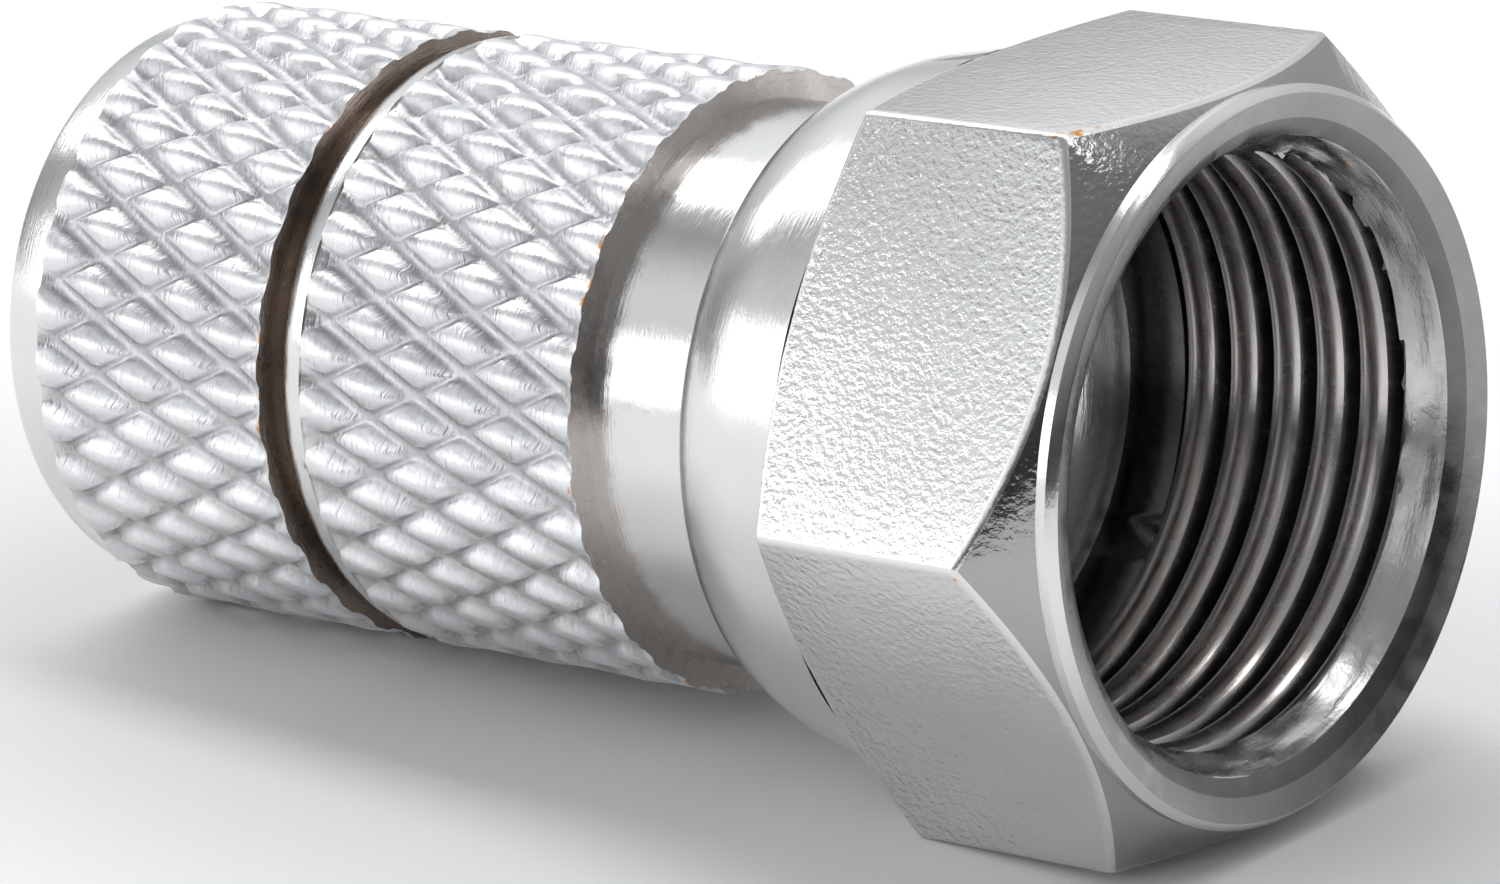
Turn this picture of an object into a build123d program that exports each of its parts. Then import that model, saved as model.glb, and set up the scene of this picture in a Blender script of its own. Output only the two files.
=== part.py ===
from build123d import *
import math
import os

# Twist-on coaxial cable connector, in millimetres. The axis of both pieces is X, and the mating end
# points along +X. X = 0 is where the nut's thread begins, and a flat of the hexagon faces down.

# Coupling nut, outside
across_flats = 11.0
nut_length = 7.25
boss_step = 0.08            # the short round boss is this much inside the flats
boss_length = 0.3
boss_edge = 0.14            # sloping edge of the boss, up to the rim
rim_drop = 0.12             # from the boss in to the crest of the front rim
front_bevel_length = 0.8    # turned bevel across the hexagon's front corners
hexagon_length = 3.5        # length of a corner edge between the two bevels
rear_bevel_length = 0.38    # turned bevel across the hexagon's rear corners
collar_cone_drop = 0.16     # the collar's cone narrows by this much up to its dome
collar_cone_length = 0.9
collar_dome_drop = 0.48
collar_sagitta = 0.06
collar_edge = 0.16          # sloping rear edge of the collar
hexagon_edge = 0.15         # rounding along the hexagon's corners

# Coupling nut, inside
thread_crest_radius = 4.38  # minor radius of a 3/8-32 thread
thread_length = 4.2
countersink_length = 0.67
countersink_flare = 0.67    # the countersink widens by this much from the thread to the mouth
rim_depth = 0.12            # the rim slopes in to the countersink by this much
relief_depth = 0.17
back_wall = 1.05            # wall that the sleeve's flange holds
back_hole_edge = 0.15

# Fits between the nut and the sleeve
running_clearance = 0.06    # radial, spigot in the nut's back wall
axial_gap = 0.1             # each side of the back wall
flange_gap = 0.32           # radial, the flange passes through the thread

# Sleeve, outside, from the flange to the rear
flange_thickness = 0.47
flange_edge = 0.08
spigot_wall = 0.95          # around the core bore
neck_step = 0.74            # the neck stands over the spigot by this much
neck_length = 2.04
front_band_length = 5.29
groove_width = 0.87
groove_depth = 0.59         # below the tops of the knurl
rear_band_length = 4.6
tail_length = 0.9           # plain tapered land behind the knurl
tail_step = 0.17            # below the tops of the knurl
tail_taper = 0.14
tail_edge = 0.16

# Diamond knurl on both bands
shoulder_height = 0.48      # the tops of the knurl stand over the neck by this much
knurl_starts = 32           # diamonds around the sleeve
knurl_pitch = 1.87          # length of one diamond along the sleeve
knurl_depth = 0.24
knurl_flank = 0.19          # width of each tooth's sloping flank
knurl_floor = 0.05          # flat bottom of the grooves
knurl_foot = 0.08           # each tooth reaches into the blank by this much
knurl_offset = 0.15         # from the rear end of the knurl to the middle of the first row
knurl_angle = 9.1           # the first row's turn about the axis
turning_clearance = 0.3     # the grip's turned outline passes over the knurl by this much

# Sleeve, inside
jacket_bore_radius = 3.35
jacket_mouth_flare = 0.6
jacket_mouth_length = 0.6
core_bore_radius = 2.6
core_lip_flare = 0.35
core_lip_length = 0.2
core_cone_length = 0.4      # cone from the jacket bore down to the core bore
bore_step_back = 1.16       # the jacket bore ends this far behind the neck

# Radii of the nut
flat_radius = across_flats / 2
corner_radius = across_flats / math.sqrt(3)
boss_radius = flat_radius - boss_step
rim_radius = boss_radius - rim_drop
mouth_radius = thread_crest_radius + countersink_flare
relief_radius = thread_crest_radius + relief_depth
collar_step_radius = flat_radius - collar_cone_drop
collar_tail_radius = collar_step_radius - collar_dome_drop

# Radii of the sleeve
flange_radius = thread_crest_radius - flange_gap
spigot_radius = core_bore_radius + spigot_wall
back_hole_radius = spigot_radius + running_clearance
neck_radius = spigot_radius + neck_step
grip_radius = neck_radius + shoulder_height
root_radius = grip_radius - knurl_depth
clear_radius = grip_radius + turning_clearance
groove_radius = grip_radius - groove_depth
tail_front_radius = grip_radius - tail_step
tail_rear_radius = tail_front_radius - tail_taper
jacket_mouth_radius = jacket_bore_radius + jacket_mouth_flare
core_lip_radius = core_bore_radius + core_lip_flare

# Stations of the nut along X
nut_front = rim_depth + countersink_length
nut_rear = nut_front - nut_length
hexagon_front = nut_front - boss_length - front_bevel_length
hexagon_rear = hexagon_front - hexagon_length
collar_front = hexagon_rear - rear_bevel_length
collar_step = collar_front - collar_cone_length
back_wall_front = nut_rear + back_wall

# Stations of the sleeve along X
flange_rear = back_wall_front + axial_gap
flange_front = flange_rear + flange_thickness
neck_front = nut_rear - axial_gap
neck_rear = neck_front - neck_length
groove_front = neck_rear - front_band_length
groove_rear = groove_front - groove_width
tail_front = groove_rear - rear_band_length
tail_rear = tail_front - tail_length
jacket_bore_front = neck_rear - bore_step_back

# Rows of the knurl: the teeth of each row stand between those of the rows beside it
knurl_length = neck_rear - tail_front
row_spacing = knurl_pitch / 2
tooth_half_width = math.pi * root_radius / knurl_starts
row_count = math.ceil(knurl_length / row_spacing) + 2
first_row = tail_front + knurl_offset - row_spacing
root_turn = knurl_angle + 180 / knurl_starts

os.makedirs("parts", exist_ok=True)

# Coupling nut: a hexagonal bar, turned by one outline that also bores it
with BuildPart() as coupling_nut:
    with BuildSketch(Plane.YZ.offset(nut_rear)) as bar:
        RegularPolygon(corner_radius, 6)
        fillet(bar.vertices(), hexagon_edge)
    extrude(amount=nut_length)

    with BuildSketch(Plane.XZ) as turned_nut:
        with BuildLine():
            Polyline(
                (countersink_length, mouth_radius),
                (nut_front, rim_radius),
                (nut_front - boss_edge, boss_radius),
                (nut_front - boss_length, boss_radius),
                (hexagon_front, corner_radius),
                (hexagon_rear, corner_radius),
                (collar_front, flat_radius),
                (collar_step, collar_step_radius),
            )
            SagittaArc((collar_step, collar_step_radius), (nut_rear, collar_tail_radius), -collar_sagitta)
            Polyline(
                (nut_rear, collar_tail_radius),
                (nut_rear, back_hole_radius),
                (back_wall_front, back_hole_radius),
                (back_wall_front, relief_radius),
                (-thread_length, relief_radius),
                (-thread_length, thread_crest_radius),
                (0, thread_crest_radius),
                (countersink_length, mouth_radius),
            )
        make_face()
    revolve(axis=Axis.X, mode=Mode.INTERSECT)

    tail_rims = coupling_nut.edges().filter_by(GeomType.CIRCLE).group_by(Axis.X)[0].sort_by(SortBy.RADIUS)
    chamfer(tail_rims[-1], collar_edge)
    tail_rims = coupling_nut.edges().filter_by(GeomType.CIRCLE).group_by(Axis.X)[0].sort_by(SortBy.RADIUS)
    chamfer(tail_rims[0], back_hole_edge)

# One tooth of the knurl, a truncated pyramid pointing along +X
with BuildPart() as tooth:
    with BuildSketch(Plane.YZ.offset(root_radius - knurl_foot)):
        Polygon(
            (tooth_half_width, 0),
            (0, row_spacing),
            (-tooth_half_width, 0),
            (0, -row_spacing),
            align=None,
        )
        offset(amount=-knurl_floor / 2, kind=Kind.INTERSECTION)
    extrude(amount=knurl_depth + knurl_foot)
    tooth_top = tooth.faces().sort_by(Axis.X)[-1]
    chamfer(tooth_top.edges(), length=knurl_flank, length2=knurl_depth, reference=tooth_top)

tooth_places = []
for row in range(row_count):
    row_plane = Plane.YZ.offset(first_row + row * row_spacing)
    for start in range(knurl_starts):
        turn = knurl_angle + (start + (row + 1) % 2 / 2) * 360 / knurl_starts
        tooth_places.append(row_plane.location * Location((0, 0, 0), (0, 0, turn)))

# Sleeve: a bar knurled along its grip, then turned and bored
with BuildPart() as body_sleeve:
    with BuildSketch(Plane.YZ.offset(tail_front)):
        RegularPolygon(root_radius, knurl_starts, major_radius=False, rotation=root_turn)
    extrude(amount=knurl_length)
    with Locations(*tooth_places):
        add(tooth.part, clean=False)

    with BuildSketch(Plane.XZ):
        with BuildLine():
            Polyline(
                (neck_rear, core_bore_radius),
                (neck_rear, clear_radius),
                (groove_front, clear_radius),
                (groove_front, groove_radius),
                (groove_rear, groove_radius),
                (groove_rear, clear_radius),
                (tail_front, clear_radius),
                (tail_front, jacket_bore_radius),
                (jacket_bore_front, jacket_bore_radius),
                (jacket_bore_front + core_cone_length, core_bore_radius),
                close=True,
            )
        make_face()
    revolve(axis=Axis.X, mode=Mode.INTERSECT, clean=False)

    # The plain tail behind the knurl, and the neck, spigot and flange in front of it
    with BuildSketch(Plane.XZ) as plain_ends:
        with BuildLine():
            Polyline(
                (tail_front, jacket_bore_radius),
                (tail_front, tail_front_radius),
                (tail_rear, tail_rear_radius),
                (tail_rear, jacket_mouth_radius),
                (tail_rear + jacket_mouth_length, jacket_bore_radius),
                close=True,
            )
        make_face()
        with BuildLine():
            Polyline(
                (flange_front, core_lip_radius),
                (flange_front, flange_radius),
                (flange_rear, flange_radius),
                (flange_rear, spigot_radius),
                (neck_front, spigot_radius),
                (neck_front, neck_radius),
                (neck_rear, neck_radius),
                (neck_rear, core_bore_radius),
                (flange_front - core_lip_length, core_bore_radius),
                close=True,
            )
        make_face()
        chamfer(plain_ends.vertices().group_by(Axis.X)[-1].sort_by(Axis.Z)[-1], flange_edge)
        chamfer(plain_ends.vertices().group_by(Axis.X)[0].sort_by(Axis.Z)[-1], tail_edge)
    revolve(axis=Axis.X, clean=False)

coupling_nut.part.label = "coupling_nut"
export_step(coupling_nut.part, "parts/coupling_nut.step")

body_sleeve.part.label = "body_sleeve"
export_step(body_sleeve.part, "parts/body_sleeve.step")
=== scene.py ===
import bmesh
import bpy
import math
from mathutils import Matrix, Vector, noise


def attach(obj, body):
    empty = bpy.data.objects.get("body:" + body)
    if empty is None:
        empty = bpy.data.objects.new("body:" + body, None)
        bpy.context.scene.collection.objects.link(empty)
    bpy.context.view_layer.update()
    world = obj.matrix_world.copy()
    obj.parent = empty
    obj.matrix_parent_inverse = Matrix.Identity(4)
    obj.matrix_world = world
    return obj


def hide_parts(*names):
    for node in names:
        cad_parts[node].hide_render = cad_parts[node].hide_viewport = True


# A twist-on coaxial connector. Every size is in millimetres, and meshes are shrunk to metres at the end.
# The axis of both pieces is X, the mating end points along +X, and angles run from +Y towards +Z.

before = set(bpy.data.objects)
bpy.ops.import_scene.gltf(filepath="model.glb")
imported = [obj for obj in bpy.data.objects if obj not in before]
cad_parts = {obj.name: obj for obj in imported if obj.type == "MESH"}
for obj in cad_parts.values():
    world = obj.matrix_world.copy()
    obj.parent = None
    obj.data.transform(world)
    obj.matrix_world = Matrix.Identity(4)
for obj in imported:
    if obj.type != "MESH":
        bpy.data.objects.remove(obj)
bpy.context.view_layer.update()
mm = 0.001
turnSteps = 160         # facets round every turned surface
joinGap = 0.02          # two rims lie this far apart where a wall joins them, or it may turn over
sharpAngle = 30         # edges past this many degrees are sharp
knurlSharpAngle = 62    # and those within the knurl past this many
# vertices nearer than this become one: in a finished piece, along a seam, between teeth, round a flat
pieceWeld, seamWeld, toothWeld, flatWeld = 0.0005, 0.002, 0.004, 0.05


class Wire:
    # a socket that can be used in shader maths
    def __init__(self, nodes, socket):
        self.nodes, self.socket = nodes, socket

    def __add__(self, other):
        return self.nodes.maths("ADD", self, other)

    def __sub__(self, other):
        return self.nodes.maths("SUBTRACT", self, other)

    def __rsub__(self, other):
        return self.nodes.maths("SUBTRACT", other, self)

    def __mul__(self, other):
        return self.nodes.maths("MULTIPLY", self, other)

    def __abs__(self):
        return self.nodes.maths("ABSOLUTE", self)

    __radd__ = __add__
    __rmul__ = __mul__


class Nodes:
    # a material's or the world's node tree, emptied
    def __init__(self, owner):
        owner.use_nodes = True
        self.tree = owner.node_tree
        self.tree.nodes.clear()

    def add(self, kind, settings=None, inputs=None, output=0):
        node = self.tree.nodes.new(kind)
        for name, value in (settings or {}).items():
            setattr(node, name, value)
        for name, value in (inputs or {}).items():
            if isinstance(value, Wire):
                self.tree.links.new(value.socket, node.inputs[name])
            else:
                node.inputs[name].default_value = value
        return Wire(self, node.outputs[output]) if node.outputs else None

    def maths(self, operation, *values):
        return self.add("ShaderNodeMath", {"operation": operation}, dict(enumerate(values)))

    def vector(self, operation, *values, output="Vector"):
        return self.add("ShaderNodeVectorMath", {"operation": operation}, dict(enumerate(values)), output)

    def between(self, value, low, high):
        # 0 at low, 1 at high, with soft ends
        return self.add("ShaderNodeMapRange", {"interpolation_type": "SMOOTHSTEP"},
                        {"Value": value, "From Min": low, "From Max": high})

    def blend(self, share, first, second):
        # a colour, first where the share is 0; a Mix node's colours are inputs 6 and 7 and output 2
        first, second = (c if isinstance(c, Wire) else (*c, 1) for c in (first, second))
        return self.add("ShaderNodeMix", {"data_type": "RGBA"}, {0: share, 6: first, 7: second}, output=2)


def millimetres(nodes):
    # the place on the piece in millimetres
    place = nodes.add("ShaderNodeTexCoord", output="Object")
    return nodes.add("ShaderNodeVectorMath", {"operation": "SCALE"}, {0: place, "Scale": 1 / mm})


def speckle(nodes, place, size, detail=2.0, rough=0.5, distortion=0.0):
    # noise whose spots are about that many millimetres across
    return nodes.add("ShaderNodeTexNoise", {"noise_dimensions": "3D"},
                     {"Vector": place, "Scale": 1 / size, "Detail": detail,
                      "Roughness": rough, "Distortion": distortion})


nickelColour = (0.74, 0.735, 0.73)
brassColour = (0.72, 0.33, 0.10)
# near black, painted into the hollows as shade
hollowShadeColour = (0.1, 0.1, 0.105)


def nickel(name, roughness=0.2, peel=0.0, peelSize=0.13, pits=0.0, turned=0.0, turnedGap=0.03,
           striped=0.0, stain=0.08, colour=nickelColour, wornRings=(), wornWidth=0.08, wornShare=0.45,
           hollowShade=None):
    # bright plate with orange peel, pits, turning marks round the axis and striped tooth tops, all in
    # millimetres of height, with rings along X where the plate is worn through to the brass, and with painted
    # shade that darkens the hollows towards near black: (radius where that begins, radius where it is full,
    # share)
    material = bpy.data.materials.new(name)
    nodes = Nodes(material)
    place = millimetres(nodes)
    along = nodes.add("ShaderNodeSeparateXYZ", inputs={"Vector": place})
    radial = nodes.vector("LENGTH", nodes.vector("MULTIPLY", place, (0, 1, 1)), output="Value")
    cloud = speckle(nodes, place, size=1.1, detail=3.0)
    height = speckle(nodes, place, peelSize, detail=2.5, rough=0.55) * peel
    if pits:
        height = height - nodes.between(speckle(nodes, place, size=0.14, detail=1.0), 0.33, 0.22) * pits
    if turned:
        ringPlace = nodes.add("ShaderNodeCombineXYZ", inputs={"X": along, "Y": radial, "Z": cloud * 0.6})
        height = height + speckle(nodes, ringPlace, turnedGap, detail=3.0, rough=0.65) * turned
    if striped:
        drawn = nodes.add("ShaderNodeMapping", inputs={"Vector": place, "Scale": (1.0, 0.16, 0.16)})
        height = height + speckle(nodes, drawn, size=0.07, rough=0.6, distortion=0.4) * striped
    bump = nodes.add("ShaderNodeBump", inputs={"Height": height, "Distance": mm, "Strength": 1.0})
    shade = nodes.between(cloud, 0.3, 0.75) * stain
    base = nodes.blend(shade, colour, tuple(c * 0.6 for c in colour))
    # painted shade: the colour darkens towards near black between the two radii, deep in the hollows
    if hollowShade:
        shadeFromRadius, shadeToRadius, shadeShare = hollowShade
        base = nodes.blend(nodes.between(radial, shadeFromRadius, shadeToRadius) * shadeShare, base, hollowShadeColour)
    for ring in wornRings:
        near = nodes.between(abs(along - ring), wornWidth, wornWidth * 0.3)
        rubbed = speckle(nodes, place, size=0.35, detail=3.0, rough=0.6)
        bare = nodes.between(rubbed, 1 - wornShare, 1.06 - wornShare)
        base = nodes.blend(near * bare, base, brassColour)
    # between three and five quarters of the roughness
    uneven = nodes.between(speckle(nodes, place, size=0.4, detail=4.0), 0.25, 0.8)
    rough = uneven * (roughness * 0.5) + roughness * 0.75
    shader = nodes.add("ShaderNodeBsdfPrincipled",
                       inputs={"Base Color": base, "Metallic": 1.0, "Roughness": rough, "Normal": bump})
    nodes.add("ShaderNodeOutputMaterial", inputs={"Surface": shader})
    return material


def radiusOf(vert):
    return math.hypot(vert.co.y, vert.co.z)


def setRadius(vert, radius):
    scale = radius / radiusOf(vert)
    vert.co.y *= scale
    vert.co.z *= scale


def paint(faces, finish):
    for face in faces:
        face.material_index = finish


def beside(x, radius, steps):
    # the points that lie those steps away from an (x, radius) point
    return [(x + dx, radius + dr) for dx, dr in steps]


def spinOutline(outline, advance=0.0):
    # turns an outline of (x, radius) points once round the axis, while it moves on by the advance
    bm = bmesh.new()
    verts = [bm.verts.new((x, radius, 0)) for x, radius in outline]
    edges = [bm.edges.new(pair) for pair in zip(verts, verts[1:])]
    bmesh.ops.spin(bm, geom=verts + edges, cent=(0, 0, 0), axis=(1, 0, 0), angle=math.tau,
                   steps=turnSteps, dvec=(advance / turnSteps, 0, 0), use_merge=not advance)
    return bm


def turnedTube(outline, finish=0):
    bm = spinOutline(outline)
    paint(bm.faces, finish)
    return bm


def cutPlane(bm, place, way, keepAbove=False):
    # cuts off everything below or above a plane, and gives what lies on the cut
    everything = bm.verts[:] + bm.edges[:] + bm.faces[:]
    made = bmesh.ops.bisect_plane(bm, geom=everything, dist=1e-5, plane_co=place, plane_no=way,
                                  clear_inner=keepAbove, clear_outer=not keepAbove)
    return made["geom_cut"]


def keepBetween(bm, rear, front):
    # cuts a tube off square at both ends
    cutPlane(bm, (rear, 0, 0), (1, 0, 0), keepAbove=True)
    cutPlane(bm, (front, 0, 0), (1, 0, 0))


crestCurve = [(0.25, 0.05), (0.5, 0.23), (0.75, 0.54), (1, 1)]      # shares of half a crest's width and its drop
footCurve = [(-0.02, -0.06), (0, -0.015)]                           # at the foot of a thread's flank


def threadTube(thread, finish):
    # a helical tube: one turn of the whole outline, moved on by one pitch and welded to itself
    t = thread
    depth = t["rootRadius"] - t["crestRadius"]
    half = t["crestWidth"] / 2
    foot = (t["pitch"] - t["rootWidth"]) / 2
    rise = [(half * along, t["crestDrop"] * drop) for along, drop in crestCurve]
    rise += [((half + foot) / 2, (t["crestDrop"] + depth) / 2), *beside(foot, depth, footCurve)]
    fall = [(t["pitch"] - dx, dr) for dx, dr in reversed(rise)]
    outline = []
    for k in range(t["firstTurn"], t["lastTurn"] + 1):
        outline += beside(t["crestPlace"] + k * t["pitch"], t["crestRadius"],
                          [(0, 0), *rise, (t["pitch"] / 2, depth), *fall])
    bm = spinOutline(outline, advance=t["pitch"])
    bmesh.ops.remove_doubles(bm, verts=bm.verts, dist=seamWeld)
    keepBetween(bm, t["rear"], t["front"])
    paint(bm.faces, finish)
    return bm


def closeBetween(bm, first, last, finish):
    # joins the two open rims that lie between two planes across the axis with a wall
    rims = [e for e in bm.edges if e.is_boundary and all(first - 1e-3 < v.co.x < last + 1e-3 for v in e.verts)]
    paint(bmesh.ops.bridge_loops(bm, edges=rims)["faces"], finish)


def meshFrom(bm, name):
    # makes a mesh of a bmesh that is then done with
    mesh = bpy.data.meshes.new(name)
    bm.to_mesh(mesh)
    bm.free()
    return mesh


def join(bm, other):
    # adds the mesh of another bmesh
    mesh = meshFrom(other, "part")
    bm.from_mesh(mesh)
    bpy.data.meshes.remove(mesh)


def addObject(name, data):
    thing = bpy.data.objects.new(name, data)
    bpy.context.scene.collection.objects.link(thing)
    return thing


def finishPiece(bm, name, nickels, body, nodeName, knurlFinish=None):
    bmesh.ops.remove_doubles(bm, verts=bm.verts, dist=pieceWeld)
    bmesh.ops.recalc_face_normals(bm, faces=bm.faces)
    openEdges = sum(not e.is_manifold for e in bm.edges)
    for edge in bm.edges:
        knurled = all(f.material_index == knurlFinish for f in edge.link_faces)
        edge.smooth = edge.calc_face_angle(0) < math.radians(knurlSharpAngle if knurled else sharpAngle)
    for face in bm.faces:
        face.smooth = True
    bmesh.ops.scale(bm, vec=(mm, mm, mm), verts=bm.verts)
    mesh = meshFrom(bm, name)
    for material in nickels:
        mesh.materials.append(material)
    piece = addObject(name, mesh)
    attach(piece, body)
    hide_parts(nodeName)
    print(name, "has", sum(len(p.vertices) - 2 for p in mesh.polygons), "triangles and", openEdges, "open edges")


nut = {
    "front": 0.79, "rear": -6.46, "acrossFlats": 11.0, "cornerRadius": 6.351,
    "rimRadius": 5.3, "bossRadius": 5.42, "bossRear": 0.49, "bossEdge": 0.14,
    "hexagonFront": -0.31, "hexagonRear": -3.81,
    "collarFront": -4.19, "collarStep": -5.09, "collarStepRadius": 5.34,
    "collarTailRadius": 4.86, "collarBow": 0.06,
    "holeRadius": 3.61, "holeEdge": 0.15, "wallFront": -5.41, "reliefRadius": 4.55, "threadRear": -4.2,
    "mouth": [(-0.1, 4.38), (0.5, 4.67), (0.67, 4.93)],     # a shallow cone, then a steep one up to the rim
    "proud": 0.2,                           # the blank stands over the corners, until the flats cut it off
    "flatEdge": 0.08,                       # rounding along the edges of the flats
    # roundings of the rim and of the collar's rear: steps along X and in radius from the corner there
    "rimEdge": [(-0.02, -0.05), (0, 0), (-0.03, 0.04)],
    "collarEdge": [(0.12, 0.03), (0.04, -0.04), (0, -0.16)],
    "bandRear": -0.1, "bandRag": 0.1,       # the shallow cone is whole in front of this ragged line
    # unevenness of the first crest: height, noise per millimetre along each axis, and how far it reaches
    # behind the cone and how fast it fades, for a cone of length 1
    "rag": 0.03, "ragGrain": (3, 1.6, 1.6), "ragReach": 0.3, "ragFade": 3,
    "burrTurn": 68, "burrSpread": 24, "burrHeight": 0.14, "burrGrain": 6, "burrLift": 0.2,
}
matingThread = {
    "pitch": 0.79375, "crestRadius": 4.38, "rootRadius": 4.74, "rear": -4.2, "front": 0.5,
    "crestWidth": 0.48, "crestDrop": 0.09, "rootWidth": 0.06, "crestPlace": -0.66,
    "firstTurn": -7, "lastTurn": 2,
}
nutNickels = {
    "turned": nickel("turned nickel", roughness=0.17, turned=0.0035, turnedGap=0.05, peel=0.001),
    "facet": nickel("orange peel nickel", roughness=0.2, peel=0.024, peelSize=0.105, pits=0.004),
    # painted shade: the thread darkens towards its roots and in the relief
    "thread": nickel("thread nickel", roughness=0.24, turned=0.002, peel=0.001, colour=(0.68, 0.65, 0.63),
                     hollowShade=(4.44, 4.6, 0.8)),
    "mouth": nickel("countersunk nickel", roughness=0.26, turned=0.006, turnedGap=0.07, peel=0.004,
                    colour=(0.62, 0.61, 0.60), wornRings=(0.25,), wornWidth=0.3, wornShare=0.3),
    "edge": nickel("rubbed edge nickel", roughness=0.24, peel=0.006, peelSize=0.1, colour=(0.8, 0.78, 0.76),
                   wornRings=(-0.31,), wornWidth=0.3, wornShare=0.4),
    # painted shade: the rim's face is coloured far darker than the plate
    "rim": nickel("faced nickel painted darker as shade", roughness=0.3, turned=0.002, peel=0.002, stain=0.2,
                  colour=(0.33, 0.33, 0.33)),
    # painted shade: the steep cone of the mouth is coloured near black
    "steep": nickel("nickel painted dark as shade", roughness=0.3, turned=0.003, peel=0.003, stain=0.3,
                    colour=(0.2, 0.19, 0.185)),
    "bevel": nickel("bevel nickel", roughness=0.15, peel=0.011, peelSize=0.13, colour=(0.4, 0.39, 0.39)),
}
nutFinish = {name: number for number, name in enumerate(nutNickels)}


def arcPoints(start, end, bow, steps):
    # the points between two (x, radius) points, bowed outwards
    points = []
    for i in range(1, steps):
        share = i / steps
        swell = bow * 4 * share * (1 - share)
        points.append((start[0] + (end[0] - start[0]) * share,
                       start[1] + (end[1] - start[1]) * share + swell))
    return points


def nutBlank():
    # the nut as it is turned, before its flats are cut: the outside, the back wall and the relief
    n = nut
    frontSlope = (n["cornerRadius"] - n["bossRadius"]) / (n["bossRear"] - n["hexagonFront"])
    rearSlope = (n["cornerRadius"] - n["acrossFlats"] / 2) / (n["hexagonRear"] - n["collarFront"])
    step = (n["collarStep"], n["collarStepRadius"])
    collarEnd = beside(n["rear"], n["collarTailRadius"], n["collarEdge"])
    return turnedTube([
        n["mouth"][2], *beside(n["front"], n["rimRadius"], n["rimEdge"]),
        (n["front"] - n["bossEdge"], n["bossRadius"]), (n["bossRear"], n["bossRadius"]),
        (n["hexagonFront"] - n["proud"] / frontSlope, n["cornerRadius"] + n["proud"]),
        (n["hexagonRear"] + n["proud"] / rearSlope, n["cornerRadius"] + n["proud"]),
        (n["collarFront"], n["acrossFlats"] / 2),
        step, *arcPoints(step, collarEnd[0], n["collarBow"], steps=6), *collarEnd,
        (n["rear"], n["holeRadius"] + n["holeEdge"]), (n["rear"] + n["holeEdge"], n["holeRadius"]),
        (n["wallFront"], n["holeRadius"]), (n["wallFront"], n["reliefRadius"]),
        (n["threadRear"] - joinGap, n["reliefRadius"])], nutFinish["turned"])


def cutFlat(bm, turn):
    # cuts one flat of the hexagon and closes it
    flatRadius = nut["acrossFlats"] / 2
    way = Vector((0, math.cos(turn), math.sin(turn)))
    onCut = cutPlane(bm, way * flatRadius, way)
    bmesh.ops.remove_doubles(bm, verts=[v for v in onCut if isinstance(v, bmesh.types.BMVert)], dist=flatWeld)
    rim = [e for e in bm.edges
           if e.is_boundary and all(abs(v.co.dot(way) - flatRadius) < 1e-4 for v in e.verts)]
    paint(bmesh.ops.edgeloop_fill(bm, edges=rim)["faces"], nutFinish["facet"])


def nutShell():
    n, near = nut, 0.01
    bm = nutBlank()
    for k in range(6):
        cutFlat(bm, math.radians(30 + 60 * k))
    bmesh.ops.recalc_face_normals(bm, faces=bm.faces)
    sharp = [e for e in bm.edges if len(e.link_faces) == 2 and e.calc_face_angle() > math.radians(8)
             and any(f.material_index == nutFinish["facet"] for f in e.link_faces)]
    bmesh.ops.bevel(bm, geom=sharp, offset=n["flatEdge"], offset_type="OFFSET", affect="EDGES", segments=2,
                    profile=0.5, material=nutFinish["edge"], clamp_overlap=False)
    # the front bevels, the rim's face and the relief behind the thread have finishes of their own: the rim's face
    # is painted darker as shade, and the relief takes the thread's finish with its painted shade
    for face in bm.faces:
        place = face.calc_center_median()
        onFront = n["hexagonFront"] < place.x < n["bossRear"] and face.normal.x > 0.3
        if onFront and face.material_index == nutFinish["turned"]:
            face.material_index = nutFinish["bevel"]
        if place.x > n["mouth"][2][0] and place.yz.length < n["rimRadius"]:
            face.material_index = nutFinish["rim"]
        if n["wallFront"] - near < place.x < n["threadRear"] and place.yz.length < n["reliefRadius"] + near:
            face.material_index = nutFinish["thread"]
    return bm


def nutInside():
    # the thread, opened by the countersink, whose first crest is left ragged with a burr near the top
    n = nut
    bm = threadTube(matingThread, nutFinish["thread"])
    (coneRear, coneRadius), (coneFront, wideRadius) = n["mouth"][:2]
    for vert in bm.verts:
        share = (vert.co.x - coneRear) / (coneFront - coneRear)
        if share < -n["ragReach"]:
            continue
        turn = math.degrees(math.atan2(vert.co.z, vert.co.y))
        nearBurr = max(0, 1 - abs(turn - n["burrTurn"]) / n["burrSpread"])
        burr = nearBurr * max(0, noise.noise(vert.co * n["burrGrain"]) + n["burrLift"]) * n["burrHeight"]
        uneven = noise.noise(Vector([c * grain for c, grain in zip(vert.co, n["ragGrain"])]))
        fade = min(1, (share + n["ragReach"]) * n["ragFade"]) * min(1, (1 - share) * n["ragFade"])
        wanted = coneRadius + (wideRadius - coneRadius) * share + (uneven * n["rag"] - burr) * fade
        if radiusOf(vert) < wanted or vert.co.x > n["bandRear"] + uneven * n["bandRag"]:
            setRadius(vert, wanted)
            paint(vert.link_faces, nutFinish["mouth"])
    return bm


wholeNut = nutShell()
join(wholeNut, nutInside())
closeBetween(wholeNut, nut["threadRear"] - joinGap, nut["threadRear"], nutFinish["thread"])
# the steep cone's wall, painted dark as shade
closeBetween(wholeNut, matingThread["front"], nut["mouth"][2][0], nutFinish["steep"])
finishPiece(wholeNut, "couplingNut", nutNickels.values(), "nut", "coupling_nut")
print("coupling nut made")


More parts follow.
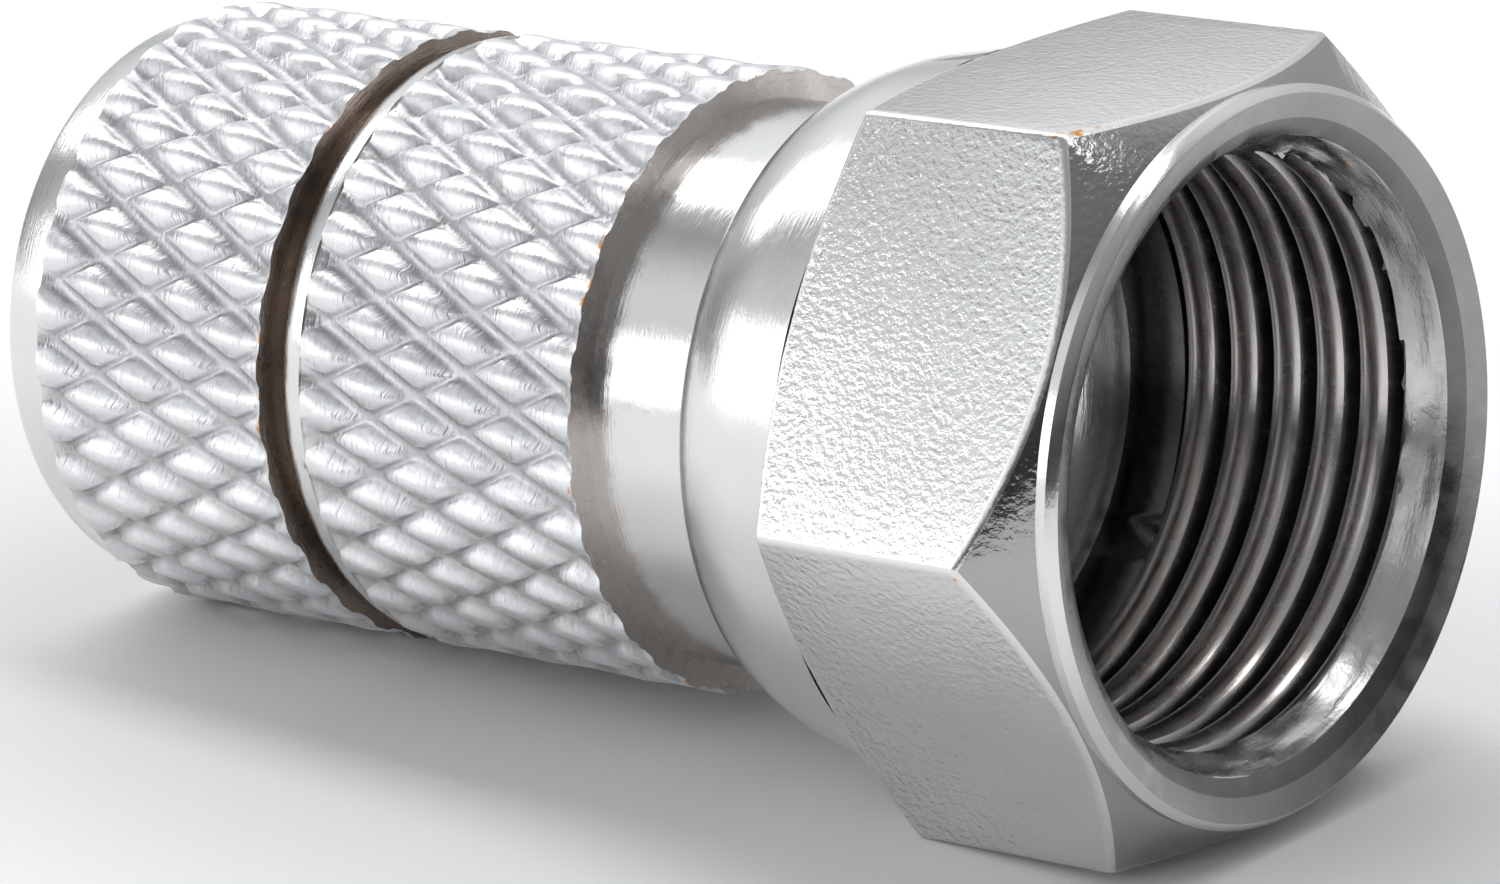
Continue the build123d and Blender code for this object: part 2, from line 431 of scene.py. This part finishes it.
sleeve = {
    "flangeFront": -4.84, "flangeRear": -5.31, "flangeRadius": 4.06, "flangeEdge": 0.06,
    "spigotRadius": 3.55, "neckFront": -6.56, "neckRear": -8.60, "neckRadius": 4.29, "neckEdge": 0.05,
    "grooveFront": -13.89, "grooveRear": -14.76, "grooveRadius": 4.18, "grooveFloorFront": -14.55,
    # the plain, rounded rear end of the front band, from the groove's floor up: (x, radius)
    "roundedEnd": [(-14.53, 4.19), (-14.52, 4.28), (-14.49, 4.4), (-14.43, 4.51), (-14.34, 4.6),
                   (-14.22, 4.67), (-14.08, 4.71), (-13.91, 4.73)],
    "tailFront": -19.36, "tailRear": -20.26, "tailFrontRadius": 4.6, "tailRearRadius": 4.46,
    # roundings of the tail's two ends: steps along X and in radius from the corner there
    "tailFrontEdge": [(-joinGap, -0.1), (-0.03, -0.02), (-0.06, 0)],
    "tailRearEdge": [(0.16, 0.02), (0.05, -0.03), (0, -0.14)],
    "jacketMouth": 3.95, "jacketMouthLength": 0.6, "jacketEndGap": 0.06,
    "coreRadius": 2.6, "coreRear": -9.36, "coreLipRadius": 2.95, "coreLip": 0.2,
}
jacketThread = {
    "pitch": 1.25, "crestRadius": 3.35, "rootRadius": 3.6, "rear": -19.6, "front": -9.86,
    "crestWidth": 0.4, "crestDrop": 0.04, "rootWidth": 0.3, "crestPlace": -20.6,
    "firstTurn": -1, "lastTurn": 10,
}
knurl = {
    "starts": 32, "pitch": 1.87, "topRadius": 4.77, "rootRadius": 4.53,
    "rowPlace": -16.405, "rowAngle": 183.5,     # the middle of one tooth
    "firstRow": -4, "lastRow": 9,
    "crossDepth": 0.19,                     # the grooves of the other hand are this deep
    # the grooves of each hand: share across a tooth, share of its height
    "profile": [(0, 0), (0.13, 0.06), (0.27, 0.86), (0.5, 1)],
    "crossProfile": [(0, 0), (0.05, 0.1), (0.17, 0.86), (0.5, 1)],
    "wobbles": [(1.7, 0.012), (5.5, 0.012)],    # unevenness: noise per millimetre, height
    "endFade": 0.22, "endDepth": 0.3,       # the turned ends leave this share of the grooves open
    "rag": 0.03, "ragGrain": 4, "ragWidth": 0.05,   # and their rims are ragged
}
wornEnds = (sleeve["neckRear"], sleeve["grooveRear"])
sleeveNickels = {
    "brushed": nickel("brushed nickel", roughness=0.15, turned=0.004, turnedGap=0.04),
    # painted shade: the knurl darkens towards the floors of its grooves
    "knurl": nickel("knurled nickel", roughness=0.42, peel=0.006, striped=0.02, stain=0.06,
                    colour=(0.8, 0.8, 0.81), wornRings=wornEnds, wornWidth=0.1, wornShare=0.42,
                    hollowShade=(4.7, 4.56, 0.4)),
    "shoulder": nickel("thin nickel", roughness=0.28, turned=0.008, turnedGap=0.05, stain=0.4,
                       colour=(0.66, 0.61, 0.575)),
    # painted shade: the groove's floor and rear wall are coloured dark brown
    "groove": nickel("groove nickel painted dark brown as shade", roughness=0.3, turned=0.01, turnedGap=0.05, stain=0.6,
                     colour=(0.4, 0.335, 0.29)),
}
sleeveFinish = {name: number for number, name in enumerate(sleeveNickels)}


def toothCell():
    # one diamond of the knurl, from groove line to groove line: a grid that both profiles give its heights
    k = knurl
    places, crossPlaces = (k[name] + [(1 - share, height) for share, height in k[name][-2::-1]]
                           for name in ("profile", "crossProfile"))
    cells = len(places) - 1
    depth = k["topRadius"] - k["rootRadius"]
    bm = bmesh.new()
    bmesh.ops.create_grid(bm, x_segments=cells, y_segments=cells, size=1)
    for vert in bm.verts:
        s, deep = places[round((vert.co.x + 1) * cells / 2)]
        t, shallow = crossPlaces[round((vert.co.y + 1) * cells / 2)]
        radius = k["topRadius"] - max((1 - deep) * depth, (1 - shallow) * k["crossDepth"])
        turn = (t - s) * math.pi / k["starts"]
        vert.co = ((s + t - 1) * k["pitch"] / 2, radius * math.cos(turn), radius * math.sin(turn))
    return meshFrom(bm, "tooth")


def knurlTube():
    # all the diamonds round the sleeve, row by row
    k = knurl
    tooth = toothCell()
    bm = bmesh.new()
    for row in range(k["firstRow"], k["lastRow"] + 1):
        x = k["rowPlace"] + row * k["pitch"] / 2
        for start in range(k["starts"]):
            turn = math.radians(k["rowAngle"]) + (start + row % 2 / 2) * math.tau / k["starts"]
            before = len(bm.verts)
            bm.from_mesh(tooth)
            bm.verts.ensure_lookup_table()
            bmesh.ops.transform(bm, matrix=Matrix.Translation((x, 0, 0)) @ Matrix.Rotation(turn, 4, "X"),
                                verts=bm.verts[before:])
    bpy.data.meshes.remove(tooth)
    bmesh.ops.remove_doubles(bm, verts=bm.verts, dist=toothWeld)
    for vert in bm.verts:
        wobble = sum(noise.noise(vert.co * grain) * height for grain, height in k["wobbles"])
        setRadius(vert, min(radiusOf(vert) + wobble, k["topRadius"]))
    return bm


def knurledBand(whole, rear, front):
    # one band, cut from the whole knurl, whose grooves grow shallow at its two ends
    k = knurl
    bm = whole.copy()
    keepBetween(bm, rear, front)
    for vert in bm.verts:
        inwards = min(vert.co.x - rear, front - vert.co.x)
        openShare = k["endDepth"] + (1 - k["endDepth"]) * min(1, inwards / k["endFade"])
        rag = abs(noise.noise(vert.co * k["ragGrain"])) * k["rag"] if inwards < k["ragWidth"] else 0
        setRadius(vert, k["topRadius"] - (k["topRadius"] - radiusOf(vert)) * openShare - rag)
    paint(bm.faces, sleeveFinish["knurl"])
    return bm


def tailTube():
    # the plain land behind the knurl, and the mouth of the jacket bore
    s = sleeve
    return turnedTube([
        *beside(s["tailFront"], s["tailFrontRadius"], s["tailFrontEdge"]),
        *beside(s["tailRear"], s["tailRearRadius"], s["tailRearEdge"]),
        (s["tailRear"], s["jacketMouth"]),
        (s["tailRear"] + s["jacketMouthLength"], jacketThread["crestRadius"])])


def grooveTube():
    # the floor of the groove, and the rounded end of the front band
    s = sleeve
    bm = turnedTube([(s["grooveRear"] + joinGap, s["grooveRadius"]), (s["grooveFloorFront"], s["grooveRadius"]),
                     s["roundedEnd"][0]], sleeveFinish["groove"])
    join(bm, turnedTube(s["roundedEnd"]))
    return bm


def neckTube():
    # the neck, the spigot, the flange and the core bore, up to the end of the jacket bore
    s = sleeve
    return turnedTube([
        (s["neckRear"] + joinGap, s["neckRadius"]),
        (s["neckFront"] - s["neckEdge"], s["neckRadius"]), (s["neckFront"], s["neckRadius"] - s["neckEdge"]),
        (s["neckFront"], s["spigotRadius"]), (s["flangeRear"], s["spigotRadius"]),
        (s["flangeRear"], s["flangeRadius"]), (s["flangeFront"] - s["flangeEdge"], s["flangeRadius"]),
        (s["flangeFront"], s["flangeRadius"] - s["flangeEdge"]), (s["flangeFront"], s["coreLipRadius"]),
        (s["flangeFront"] - s["coreLip"], s["coreRadius"]), (s["coreRear"], s["coreRadius"]),
        (jacketThread["front"] + s["jacketEndGap"], jacketThread["crestRadius"])])


def wholeSleeve():
    # the stretches of the sleeve from the rear to the front, then the jacket bore, each closed to the last
    s, finish = sleeve, sleeveFinish
    whole = knurlTube()
    bm = knurledBand(whole, s["tailFront"], s["grooveRear"])
    join(bm, tailTube())
    closeBetween(bm, s["tailFront"] - joinGap, s["tailFront"], finish["shoulder"])
    join(bm, grooveTube())
    closeBetween(bm, s["grooveRear"], s["grooveRear"] + joinGap, finish["groove"])
    join(bm, knurledBand(whole, s["grooveFront"], s["neckRear"]))
    whole.free()
    closeBetween(bm, s["grooveFront"] - joinGap, s["grooveFront"], finish["shoulder"])
    join(bm, neckTube())
    closeBetween(bm, s["neckRear"], s["neckRear"] + joinGap, finish["shoulder"])
    join(bm, threadTube(jacketThread, finish["brushed"]))
    closeBetween(bm, jacketThread["front"], jacketThread["front"] + s["jacketEndGap"], finish["brushed"])
    closeBetween(bm, s["tailRear"] + s["jacketMouthLength"], jacketThread["rear"], finish["brushed"])
    return bm


finishPiece(wholeSleeve(), "bodySleeve", sleeveNickels.values(), "sleeve", "body_sleeve",
            knurlFinish=sleeveFinish["knurl"])
print("sleeve made")


studio = {
    "floorSize": 900, "floorColour": (0.88, 0.88, 0.88),
    # the floor's own glow fades out round the connector, as a painted shadow: middle and reach in millimetres,
    # and how many reaches away the fade begins and ends
    "floorGlow": 0.24, "paintedShadowMiddle": -9.7, "paintedShadowReach": (13, 8), "paintedShadowFade": (0.8, 2.2),
    "frontBox": {"way": (-0.62, -0.76, 0.23), "along": (0.77, -0.63, 0), "size": (360, 90), "level": 1.35},
    "topStrip": {"way": (-0.27, 0.19, 0.94), "along": (1, 0, 0), "size": (650, 76), "level": 2.8},
    "lampDistance": 265,
    # the room: direction, outer and inner angle and level of each soft patch, over an even level
    "roomLevel": 0.06, "roomColour": (0.95, 0.975, 1),
    "patches": [((-0.35, 0.9, 0.25), 80, 45, 0.52), ((-0.7, -0.75, 0.15), 50, 25, 0.6),
                ((0, 0, 1), 85, 35, 0.3), ((0, -0.87, 0.49), 28, 12, 0.7), ((-0.6, 0.5, 0.62), 32, 14, 0.25)],
}


def placed(place, right, up, back):
    # the matrix of a thing at a place in millimetres, from three directions of its own
    return Matrix.Translation(place * mm) @ Matrix((right, up, back)).transposed().to_4x4()


def floorPaper():
    # white paper, which the camera and mirror rays see a little brighter than its light, except round the
    # connector, where the glow fades out as a painted shadow
    paper = bpy.data.materials.new("paper")
    nodes = Nodes(paper)
    seen = sum(nodes.add("ShaderNodeLightPath", output=ray)
               for ray in ("Is Camera Ray", "Is Glossy Ray", "Is Transmission Ray"))
    reachX, reachY = studio["paintedShadowReach"]
    away = nodes.vector("SUBTRACT", millimetres(nodes), (studio["paintedShadowMiddle"], 0, 0))
    away = nodes.vector("MULTIPLY", away, (1 / reachX, 1 / reachY, 0))
    away = nodes.vector("LENGTH", away, output="Value")
    # painted shadow: no glow near the connector, so the floor is darker there
    strength = seen * nodes.between(away, *studio["paintedShadowFade"]) * studio["floorGlow"]
    matt = nodes.add("ShaderNodeBsdfDiffuse", inputs={"Color": (*studio["floorColour"], 1)})
    glow = nodes.add("ShaderNodeEmission", inputs={"Color": (1, 1, 1, 1), "Strength": strength})
    both = nodes.add("ShaderNodeAddShader", inputs={0: matt, 1: glow})
    nodes.add("ShaderNodeOutputMaterial", inputs={"Surface": both})
    return paper


def addFloor():
    # the connector lies on a flat of the nut and on the rear edge of the sleeve
    flatRadius = nut["acrossFlats"] / 2
    lean = math.atan((flatRadius - sleeve["tailRearRadius"]) / (nut["hexagonRear"] - sleeve["tailRear"]))
    rest = Vector((nut["hexagonRear"], 0, -flatRadius)) * mm
    bm = bmesh.new()
    bmesh.ops.create_grid(bm, x_segments=1, y_segments=1, size=studio["floorSize"] * mm)
    bmesh.ops.transform(bm, matrix=Matrix.Translation(rest) @ Matrix.Rotation(lean, 4, "Y"), verts=bm.verts)
    floor = addObject("floor", meshFrom(bm, "floor"))
    floor.data.materials.append(floorPaper())


def addLamp(name):
    # a soft box in that direction, whose level is its brightness where 1 is white
    box = studio[name]
    lamp = bpy.data.lights.new(name, "AREA")
    lamp.shape = "RECTANGLE"
    lamp.size, lamp.size_y = (side * mm for side in box["size"])
    lamp.energy = box["level"] * math.pi * lamp.size * lamp.size_y
    back = Vector(box["way"]).normalized()
    upright = back.cross(Vector(box["along"])).normalized()
    addObject(name, lamp).matrix_world = placed(back * studio["lampDistance"], upright.cross(back), upright, back)


def addWorld():
    world = bpy.data.worlds.new("studio")
    bpy.context.scene.world = world
    nodes = Nodes(world)
    way = nodes.add("ShaderNodeTexCoord", output="Generated")
    level = studio["roomLevel"]
    for towards, outer, inner, brightness in studio["patches"]:
        facing = nodes.vector("DOT_PRODUCT", way, tuple(Vector(towards).normalized()), output="Value")
        patch = nodes.between(facing, math.cos(math.radians(outer)), math.cos(math.radians(inner)))
        level = level + patch * brightness
    room = nodes.add("ShaderNodeBackground", inputs={"Color": (*studio["roomColour"], 1), "Strength": level})
    nodes.add("ShaderNodeOutputWorld", inputs={"Surface": room})


view = {
    "azimuth": 39.492, "elevation": 16.227, "roll": -4.254, "distance": 125.0,
    "target": (-7.34, 0.0, 0.0), "targetPixel": (836.8, 391.8), "image": (1500, 884),
    "focalPixels": 8350.3, "sensor": 36.0,
    "nearest": 5, "farthest": 10000,
}


def addCamera():
    v = view
    a, e, roll = (math.radians(v[name]) for name in ("azimuth", "elevation", "roll"))
    back = Vector((math.sin(a) * math.cos(e), -math.cos(a) * math.cos(e), math.sin(e)))
    right = Vector((math.cos(a), math.sin(a), 0))
    up = back.cross(right)
    right, up = (math.cos(roll) * right + math.sin(roll) * up, math.cos(roll) * up - math.sin(roll) * right)
    place = Vector(v["target"]) + back * v["distance"]
    # turned so that the target falls on its pixel
    aside = (v["image"][0] / 2 - v["targetPixel"][0]) / v["focalPixels"]
    above = (v["targetPixel"][1] - v["image"][1] / 2) / v["focalPixels"]
    ahead = (-back + right * aside + up * above).normalized()
    right = (right - ahead * right.dot(ahead)).normalized()
    up = right.cross(ahead)
    lens = bpy.data.cameras.new("camera")
    lens.sensor_width = v["sensor"]
    lens.lens = v["focalPixels"] * v["sensor"] / v["image"][0]
    lens.clip_start, lens.clip_end = v["nearest"] * mm, v["farthest"] * mm
    camera = addObject("camera", lens)
    camera.matrix_world = placed(place, right, up, -ahead)
    bpy.context.scene.camera = camera


addFloor()
addLamp("frontBox")
addLamp("topStrip")
addWorld()
addCamera()
bpy.context.scene.view_settings.view_transform = "Standard"
print("stage set")
